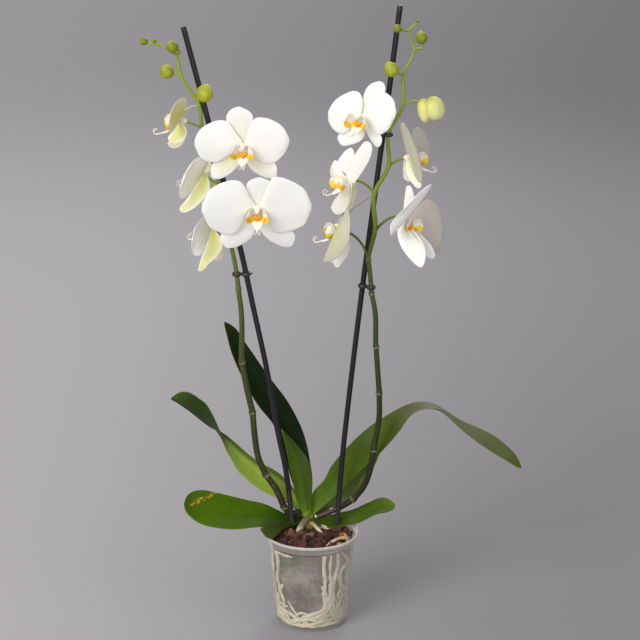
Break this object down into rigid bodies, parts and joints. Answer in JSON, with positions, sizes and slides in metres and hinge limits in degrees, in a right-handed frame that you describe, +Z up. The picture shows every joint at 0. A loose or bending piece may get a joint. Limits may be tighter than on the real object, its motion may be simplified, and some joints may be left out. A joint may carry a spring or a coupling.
{
  "type": "potted orchid",
  "caption": "Potted white moth orchid with two staked flower spikes, strap leaves, bark and roots in a clear nursery pot.",
  "frame": {"origin": "centre of the flat underside of the pot, on the surface that it stands on", "axes": "+Z up, -Y towards the side that the two large flowers face, +X to the right seen from there"},
  "size_m": [0.4686, 0.1274, 0.7899],
  "materials": {
    "pot": "clear, slightly milky moulded plastic",
    "bark": "rough orchid bark",
    "root": "dry, papery orchid root skin",
    "crown": "smooth living stem",
    "leaf": "waxy green leaf",
    "spike": "smooth green flower stem",
    "stake": "black, low gloss",
    "petal": "soft white petal",
    "lip": "white, yellow and orange lip",
    "bud": "lime green bud"
  },
  "bodies": {
    "root": {"pot": "pot", "wall_roots": "root", "stake_left": "stake", "stake_right": "stake", "bark_bed": "bark", "aerial_roots": "root", "crown": "crown", "spike_left": "spike", "spike_right": "spike", "leaf_low_left": "leaf", "leaf_curl_left": "leaf", "leaf_tall_dark": "leaf", "leaf_inner": "leaf", "leaf_arch_right": "leaf", "leaf_fold_right": "leaf", "leaf_low_right": "leaf", "leaf_small": "leaf", "clip_left": "stake", "clip_right_low": "stake", "clip_right_high": "stake", "bud_l1": "bud", "bud_l2": "bud", "bud_l3": "bud", "bud_l4": "bud", "bud_l5": "bud", "bud_r1": "bud", "bud_r2": "bud", "bud_r3": "bud", "bud_r4": "bud", "bud_r5": "bud", "bloom_a": "petal", "lip_a": "lip", "bloom_b": "petal", "lip_b": "lip", "bloom_c": "petal", "lip_c": "lip", "bloom_d": "petal", "lip_d": "lip", "bloom_e": "petal", "lip_e": "lip", "bloom_f": "petal", "lip_f": "lip", "bloom_g": "petal", "lip_g": "lip", "bloom_h": "petal", "lip_h": "lip", "bloom_i": "petal", "lip_i": "lip", "bloom_j": "petal", "lip_j": "lip"}
  },
  "joints": []
}
